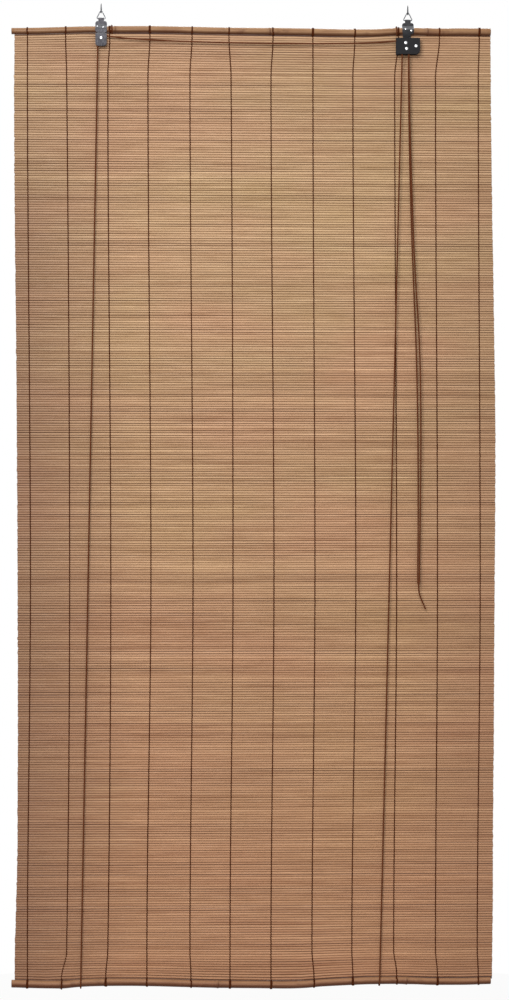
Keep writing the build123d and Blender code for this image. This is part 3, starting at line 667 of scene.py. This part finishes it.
head_cane = build_cane("head_cane_bamboo", HEAD_Z, head_bow, HEAD_RADII, HEAD_NODES)
foot_cane = build_cane("foot_cane_bamboo", FOOT_Z, foot_bow, FOOT_RADII, FOOT_NODES)


# Cords, on the CAD's routes
def cord_piece(name, points, cap=None):
    line = route(points)
    shape = Shape()
    shape.grid(laid_cord(line))
    if cap is not None:
        shape.grid(ball(line[-1], cap))
    return shape.piece(name, cord_brown), line


def lift_points(tie, turn_x, turn_r, wheel):
    """From the tie down the back, round the foot cane and up the front to the top of the wheel."""
    turn_z = FOOT_Z + float(foot_bow(turn_x))
    wheel_x, wheel_y, wheel_z = wheel
    start_x, top_z = wheel_x - WHEEL_R, wheel_z + WHEEL_R
    ease, low_share, high_share = 0.010, 0.01, 0.006
    return [tie, (turn_x + (tie[0] - turn_x) * low_share, turn_r, turn_z + ease),
            (turn_x, turn_r, turn_z - turn_r), (turn_x, -turn_r, turn_z - turn_r),
            (turn_x + (start_x - turn_x) * low_share, -turn_r - 0.0001, turn_z + ease),
            (start_x - (start_x - turn_x) * high_share, wheel_y, wheel_z - ease),
            (start_x, wheel_y, top_z), (wheel_x, wheel_y, top_z)]


lift_left, _ = cord_piece("lift_cord_left_laid", lift_points(
    (LEFT_TIE_X, 0.00605, -0.04752), LEFT_TURN_X, LEFT_TURN_R, (LEFT_X, PULLEY_Y, PULLEY_Z)))
lift_right, _ = cord_piece("lift_cord_right_laid", lift_points(
    (RIGHT_TIE_X, 0.00675, -0.04787), RIGHT_TURN_X, RIGHT_TURN_R, (LOCK_AXLE_X, LOCK_FRONT_Y, LOCK_Z)))

LOCK_CORD_Z, PULLEY_CORD_Z = LOCK_Z + WHEEL_R, PULLEY_Z + WHEEL_R
leave_x, enter_x = LEFT_X + WHEEL_R, LOCK_AXLE_X - WHEEL_R
# The cross cord's sag: the share of its way, and the drop in mm
cross_points = [(LEFT_X, PULLEY_Y, PULLEY_CORD_Z), (leave_x, PULLEY_Y, PULLEY_CORD_Z)]
for share, drop in zip((0.026, 0.082, 0.173, 0.284, 0.404, 0.525, 0.646, 0.767, 0.878, 0.948),
                       (3.1, 5.7, 8.3, 10.3, 11.7, 12.5, 12.7, 12.3, 11.0, 9.1)):
    cross_points.append((leave_x + share * (enter_x - leave_x), PULLEY_Y + share * (LOCK_BACK_Y - PULLEY_Y),
                         PULLEY_CORD_Z - drop * 0.001))
cross_points += [(enter_x, LOCK_BACK_Y, LOCK_CORD_Z), (LOCK_AXLE_X, LOCK_BACK_Y, LOCK_CORD_Z)]
cross, _ = cord_piece("cross_cord_laid", cross_points)

# Pull cord: two strands from the lock to a knot, side by side there, and one tail below it
STRAND_X, KNOT_Y, PULL_DROP = LOCK_AXLE_X + WHEEL_R, -0.0129, 0.898
KNOT_X, KNOT_TOP = STRAND_X + 0.0167, LOCK_CORD_Z - PULL_DROP
STRAND_BACK_X, STRAND_FRONT_X = KNOT_X - 0.00135, KNOT_X + 0.00135


def strand_points(wheel_y, drifts, end_x):
    """From the wheel's top down to the knot; drifts are its steps to the right in mm."""
    first_drop, drop_step, at_wheel, at_knot = 0.058, 0.06, 0.012, 0.028
    points = [(LOCK_AXLE_X, wheel_y, LOCK_CORD_Z), (STRAND_X, wheel_y, LOCK_CORD_Z),
              (STRAND_X + 0.00005, wheel_y, LOCK_CORD_Z - at_wheel)]
    for i, drift in enumerate(drifts):
        drop = first_drop + i * drop_step
        points.append((STRAND_X + drift * 0.001, wheel_y + (KNOT_Y - wheel_y) * drop / PULL_DROP,
                       LOCK_CORD_Z - drop))
    return points + [(end_x, KNOT_Y, KNOT_TOP + at_knot), (end_x, KNOT_Y, KNOT_TOP)]


pull_back, back_line = cord_piece("pull_cord_back_laid", strand_points(
    LOCK_BACK_Y, (0.2, 0.6, 1.5, 2.8, 4.5, 6.5, 8.9, 11.4, 13.4, 14.8, 15.6, 16.0, 16.1, 15.9),
    STRAND_BACK_X))
pull_front, front_line = cord_piece("pull_cord_front_laid", strand_points(
    LOCK_FRONT_Y, (0.4, 1.4, 3.0, 4.8, 6.8, 9.2, 12.6, 16.7, 19.2, 20.3, 20.6, 20.3, 19.6, 18.8),
    STRAND_FRONT_X))
# The tail's steps in mm, to the right, to the back and down
tail_points = [(KNOT_X + right * 0.001, KNOT_Y + back * 0.001, KNOT_TOP - 0.012 - down * 0.001)
               for right, back, down in ((0, 0, 0), (0, 0, 7), (2.3, 0.1, 17), (6.5, 0.2, 27.5),
                                         (11.1, 0.4, 38))]
pull_tail, tail_line = cord_piece("pull_cord_tail_laid", tail_points, cap=(0.0014, 0.0013, 0.0014))


def add_knot(shape, centre, size):
    """An overhand knot pulled tight."""
    t = angles(120)
    trefoil = [np.sin(t) + 2 * np.sin(2 * t), -np.sin(3 * t), np.cos(t) - 2 * np.cos(2 * t)]
    line = np.stack(trefoil, axis=1) / 3
    shape.grid(tube(line * np.array(size) + np.array(centre), 0.00098, 8, closed=True), closed_rows=True)


def build_pull_knot():
    shape = Shape()
    add_knot(shape, (KNOT_X, KNOT_Y, KNOT_TOP - 0.0060), (0.0021, 0.0014, 0.0050))
    # the ends of the three cords inside it
    for x, high, low in ((STRAND_BACK_X, 0.001, -0.006), (STRAND_FRONT_X, 0.001, -0.006),
                         (KNOT_X, -0.006, -0.013)):
        shape.grid(laid_cord([(x, KNOT_Y, KNOT_TOP + high), (x, KNOT_Y, KNOT_TOP + low)]))
    return shape.piece("pull_cord_overhand_knot", cord_brown)


pull_knot = build_pull_knot()


def build_tie(name, x, knot_y, knot_z):
    """A turn of lift cord round the head cane, and its knot behind it."""
    shape = Shape()
    ring_r = cane_radius(x, HEAD_RADII, HEAD_NODES) + CORD_R * 0.95
    half_pitch, lead = 0.0008, 0.6
    t = np.linspace(0, 2 * math.pi, 48)
    path = np.stack([x + half_pitch * (t / math.pi - 1), ring_r * np.cos(t - lead),
                     HEAD_Z + float(head_bow(x)) + ring_r * np.sin(t - lead)], axis=1)
    shape.grid(laid_cord(path))
    add_knot(shape, (x, knot_y, knot_z), (0.0020, 0.0013, 0.0040))
    return shape.piece(name, cord_brown)


tie_left = build_tie("lift_tie_left_turn", LEFT_TIE_X, 0.0062, -0.0432)
tie_right = build_tie("lift_tie_right_turn", RIGHT_TIE_X, 0.0069, -0.0435)


# Screw hooks, with threads, and the wire bails
def build_hooks():
    shape = Shape()
    wire, thread_turns, thread_depth, sides = 0.0012, 6.5, 0.26, 24
    shank_z, tip_z, thread_length = -0.0002, 0.009, 0.0092
    bend, ring_r, ring_end = 0.0018, 0.0026, -math.radians(200)
    turn = angles(sides)
    for x in (LEFT_X, RIGHT_X):
        rows = []
        for z in np.linspace(shank_z, tip_z, 100):
            taper = min(1.0, (0.0094 - z) / 0.0046)
            ridge = np.abs(((z / thread_length * thread_turns - turn / (2 * math.pi)) % 1.0) - 0.5) * 2
            threaded = min(1.0, max(0.0, (z - 0.0006) / 0.0005))
            radius = wire * taper * (1 - thread_depth * threaded * (1 - np.clip(ridge * 1.8 - 0.6, 0, 1)))
            ring = [x + radius * np.cos(turn), radius * np.sin(turn), np.full(sides, z)]
            rows.append(np.stack(ring, axis=1))
        shape.grid(np.array(rows))
        # a bend to the back, then the open ring under the shank
        rest = math.acos(bend / (bend + ring_r))
        ring_z = shank_z - (bend + ring_r) * math.sin(rest)
        path = [(x, bend - bend * math.cos(a), shank_z - bend * math.sin(a))
                for a in np.linspace(0, rest, 14)]
        path += [(x, ring_r * math.cos(a), ring_z + ring_r * math.sin(a))
                 for a in np.linspace(rest, ring_end, 60)[1:]]
        shape.grid(tube(path, wire, 16))
    return shape.piece("screw_hooks_threaded", hook_steel)


def arc(centre, radius, start, end, count):
    return [centre + radius * np.array([math.cos(a), math.sin(a)]) for a in np.linspace(start, end, count)]


def build_bails():
    shape = Shape()
    wire_r, top_z, foot_z, top_r, corner_r, half = 0.0008, -0.004765, -0.017265, 0.0023, 0.0017, 0.0051
    top_c, corner_c = np.array([0, top_z - top_r]), np.array([half, foot_z + corner_r])
    lean = top_c - corner_c
    tilt = math.atan2(lean[1], lean[0]) - math.acos((corner_r - top_r) / np.linalg.norm(lean))
    right = arc(corner_c, corner_r, -math.pi / 2, tilt, 14) + arc(top_c, top_r, tilt, math.pi / 2, 18)
    loop = [np.array([0, foot_z])] + right + [p * np.array([-1, 1]) for p in right[-2::-1]]
    for x in (LEFT_X, RIGHT_X):
        path = even([(x + p[0], 0, p[1]) for p in loop + loop[:1]], 0.0004)[:-1]
        shape.grid(tube(path, wire_r, 14, closed=True), closed_rows=True)
    return shape.piece("bails_wire", wire_steel)


hooks = build_hooks()
bails = build_bails()


# Nails and rivets with domed heads
def dome(radius, height, start=0.0):
    """(radius, height) from the rim of a domed head to a small flat at its top."""
    flat = 0.08
    return [(radius * math.cos(a), start + height * math.sin(a))
            for a in np.linspace(0, math.pi / 2 - flat, 7)]


def build_nails():
    shape = Shape()
    shank_r, head_r, seat_lift = 0.0008, 0.0017, 0.0012
    shank = [(0.0004, -0.0056), (shank_r, -0.0044), (shank_r, 0.0), (0.00155, 0.0), (head_r, 0.0002)]
    profile = shank + dome(head_r, 0.0008, 0.00025)
    # each nail's place as a share of the strap's width, and its angle from the top of the cane
    for hanger_x, spots in ((LEFT_X, ((-0.33, 45.0), (0.18, 60.0))),
                            (RIGHT_X, ((-0.22, 64.0), (0.27, 88.0)))):
        seat_r = cane_radius(hanger_x, HEAD_RADII, HEAD_NODES) + seat_lift
        for share, angle in spots:
            out = np.array([0, -math.sin(math.radians(angle)), math.cos(math.radians(angle))])
            seat = np.array([hanger_x + share * STRAP_W, 0, HEAD_Z]) + out * seat_r
            shape.grid(turned(profile, seat, out))
    return shape.piece("nails_domed", bright_steel)


def build_rivet(name, x, z, back_y, front_y):
    shape = Shape()
    shank_r, tail_r, head_r = 0.0016, 0.0025, 0.0026
    length = back_y - front_y
    tail = [(r, -length - h) for r, h in reversed(dome(tail_r, 0.0006))]
    shank = [(shank_r, -length), (shank_r, 0.0), (0.0025, 0.0), (head_r, 0.0002)]
    shape.grid(turned(tail + shank + dome(head_r, 0.0009, 0.0003), (x, front_y, z), (0, -1, 0), 32))
    return shape.piece(name, bright_steel)


nails = build_nails()
pulley_front = PULLEY_FACE_Y - 2 * SHEET - PULLEY_ROOM
lock_front = LOCK_FACE_Y - 2 * SHEET - LOCK_ROOM
rivets = [build_rivet("left_axle_rivet", LEFT_X, PULLEY_Z, PULLEY_FACE_Y + SHEET, pulley_front),
          build_rivet("lock_axle_rivet", LOCK_AXLE_X, LOCK_Z, LOCK_FACE_Y + SHEET, lock_front),
          build_rivet("anvil_pin_rivet", ANVIL_X, ANVIL_Z, LOCK_FACE_Y + SHEET, lock_front),
          build_rivet("cam_pin_rivet", CAM_X, CAM_Z, LOCK_FACE_Y, lock_front)]

# Sheet metal and wheels keep the CAD's shapes; the sheet's edges are rounded
for name, material, rounding in (
        ("left_hanger", zinc_sheet, 0.00022),
        ("right_hanger", zinc_dark, 0.00022),
        ("pulley_housing", zinc_sheet, 0.00025),
        ("lock_housing", lock_black, 0.00025),
        ("left_sheave", nylon, 0),
        ("lock_sheave_back", nylon, 0),
        ("lock_sheave_front", nylon, 0),
        ("lock_anvil", bright_steel, 0),
        ("lock_cam", bright_steel, 0)):
    node = nodes[name]
    node.data.materials.clear()
    node.data.materials.append(material)
    if rounding:
        weld = node.modifiers.new("weld", "WELD")
        weld.merge_threshold = 0.00001
        round_edges = node.modifiers.new("round_edges", "BEVEL")
        round_edges.width = rounding
        round_edges.segments = 2
        round_edges.limit_method = "ANGLE"
        round_edges.angle_limit = math.radians(40)
        flat_faces = node.modifiers.new("flat_faces", "WEIGHTED_NORMAL")
        flat_faces.weight = 100

# Bodies, and the CAD nodes that the pieces stand for
for piece, body, slot, stood_for in (
        (slats, "blind", "bamboo_slat", ["slat_mat"]),
        (strings_left, "blind", "string", ["warp_strings"]),
        (strings_right, "blind", "string", ["warp_strings"]),
        (head_turns, "blind", "string", ["head_bindings"]),
        (foot_turns, "foot_rail", "string", ["foot_bindings"]),
        (head_cane, "blind", "bamboo_cane", ["head_cane"]),
        (foot_cane, "foot_rail", "bamboo_cane", ["foot_cane"]),
        (lift_left, "blind", "cord", ["lift_cord_left"]),
        (lift_right, "blind", "cord", ["lift_cord_right"]),
        (cross, "blind", "cord", ["cross_cord"]),
        (pull_back, "blind", "cord", ["pull_cord_back"]),
        (pull_front, "blind", "cord", ["pull_cord_front"]),
        (pull_tail, "blind", "cord", ["pull_cord_tail"]),
        (pull_knot, "blind", "cord", ["pull_cord_knot"]),
        (tie_left, "blind", "cord", ["lift_tie_left"]),
        (tie_right, "blind", "cord", ["lift_tie_right"]),
        (hooks, "hangers", "bright_steel", ["screw_hooks"]),
        (bails, "hangers", "bright_steel", ["bails"]),
        (nails, "blind", "bright_steel", ["nails"]),
        (rivets[0], "blind", "bright_steel", ["left_axle"]),
        (rivets[1], "blind", "bright_steel", ["lock_axle"]),
        (rivets[2], "blind", "bright_steel", ["anvil_pin"]),
        (rivets[3], "blind", "bright_steel", ["cam_pin"])):
    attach(piece, body)
    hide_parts(*stood_for)


def draw_up(piece):
    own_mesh(piece)


for drawn in (slats, strings_left, strings_right):
    draw_up(drawn)
draw_up(lift_left)
draw_up(lift_right)

# Floor and background, white to the camera and in reflections
WHITE = (1.0, 1.0, 1.0, 1.0)
FLOOR_DROP, FLOOR_R, FLOOR_SIDES, FLOOR_GLOW = 0.25, 1.6, 64, 0.91
AMBIENT = 0.26


def seen_directly(tree):
    """1 for what the camera, a mirror or a glass sees, 0 for light on its way to the object."""
    ray = tree.nodes.new("ShaderNodeLightPath")
    value = ray.outputs["Is Camera Ray"]
    for other in ("Is Glossy Ray", "Is Transmission Ray"):
        both = tree.nodes.new("ShaderNodeMath")
        both.operation = "MAXIMUM"
        tree.links.new(value, both.inputs[0])
        tree.links.new(ray.outputs[other], both.inputs[1])
        value = both.outputs[0]
    return value


def floor_paint():
    p = Paint("pale_floor", roughness=0.9)
    tone = p.noise((6.0, 6.0, 6.0), 2.0, 0.5)
    p.use(Base_Color=p.mix(tone, linear(206, 206, 204), linear(214, 214, 213)))
    glow = p.node("ShaderNodeEmission", {"Color": WHITE, "Strength": 1.0}).outputs[0]
    share = p.math("MULTIPLY", seen_directly(p.tree), FLOOR_GLOW)
    both = p.node("ShaderNodeMixShader", {0: share, 1: p.shader.outputs[0], 2: glow})
    p.put(p.tree.nodes["Material Output"].inputs["Surface"], both.outputs[0])
    return p.material


def build_floor():
    turn = angles(FLOOR_SIDES)
    height = np.full(FLOOR_SIDES, FOOT_Z - FLOOR_DROP)
    rim = np.stack([FLOOR_R * np.cos(turn), FLOOR_R * np.sin(turn), height], axis=1)
    return make_mesh("floor", rim, [tuple(range(FLOOR_SIDES))], floor_paint(), False)


floor = build_floor()


def white_background(tree, strength):
    made = tree.nodes.new("ShaderNodeBackground")
    made.inputs["Color"].default_value = WHITE
    made.inputs["Strength"].default_value = strength
    return made.outputs[0]


world = bpy.data.worlds.new("studio")
bpy.context.scene.world = world
world.use_nodes = True
tree = world.node_tree
tree.nodes.clear()
choose = tree.nodes.new("ShaderNodeMixShader")
tree.links.new(seen_directly(tree), choose.inputs[0])
tree.links.new(white_background(tree, AMBIENT), choose.inputs[1])
tree.links.new(white_background(tree, 1.0), choose.inputs[2])
target = tree.nodes.new("ShaderNodeOutputWorld")
tree.links.new(choose.outputs[0], target.inputs["Surface"])


# Lamps and camera
def area_light(name, place, aim, size, power):
    data = bpy.data.lights.new(name, "AREA")
    data.shape = "DISK"
    data.size = size
    data.energy = power
    lamp = bpy.data.objects.new(name, data)
    bpy.context.scene.collection.objects.link(lamp)
    lamp.location = place
    lamp.rotation_euler = (Vector(aim) - Vector(place)).to_track_quat("-Z", "Y").to_euler()


area_light("key", (-0.8, -3.4, 0.6), (0, 0, -0.75), 1.5, 93)
area_light("fill", (0.4, -2.7, -0.7), (0, 0, -0.75), 1.8, 13)
area_light("top", (-0.2, -0.5, 1.4), (0, 0, -0.2), 0.8, 6)
area_light("back", (0.4, 2.6, 0.9), (0, 0, -0.8), 1.6, 70)

# The picture's height in metres at the blind, and the camera's distance and turn
PICTURE_HEIGHT, CAMERA_DISTANCE, CAMERA_TURN = 1.669, 4.5, math.radians(2.1)
AIM_X, AIM_Z = -0.0005, -0.8188
SENSOR_WIDTH = 36.0
camera_data = bpy.data.cameras.new("camera")
camera_data.sensor_width = SENSOR_WIDTH
camera_data.lens = SENSOR_WIDTH * CAMERA_DISTANCE / PICTURE_HEIGHT
camera = bpy.data.objects.new("camera", camera_data)
bpy.context.scene.collection.objects.link(camera)
camera.location = (AIM_X - CAMERA_DISTANCE * math.sin(CAMERA_TURN), -CAMERA_DISTANCE * math.cos(CAMERA_TURN),
                   AIM_Z)
camera.rotation_euler = (math.pi / 2, 0, -CAMERA_TURN)
bpy.context.scene.camera = camera
bpy.context.scene.view_settings.view_transform = "Standard"
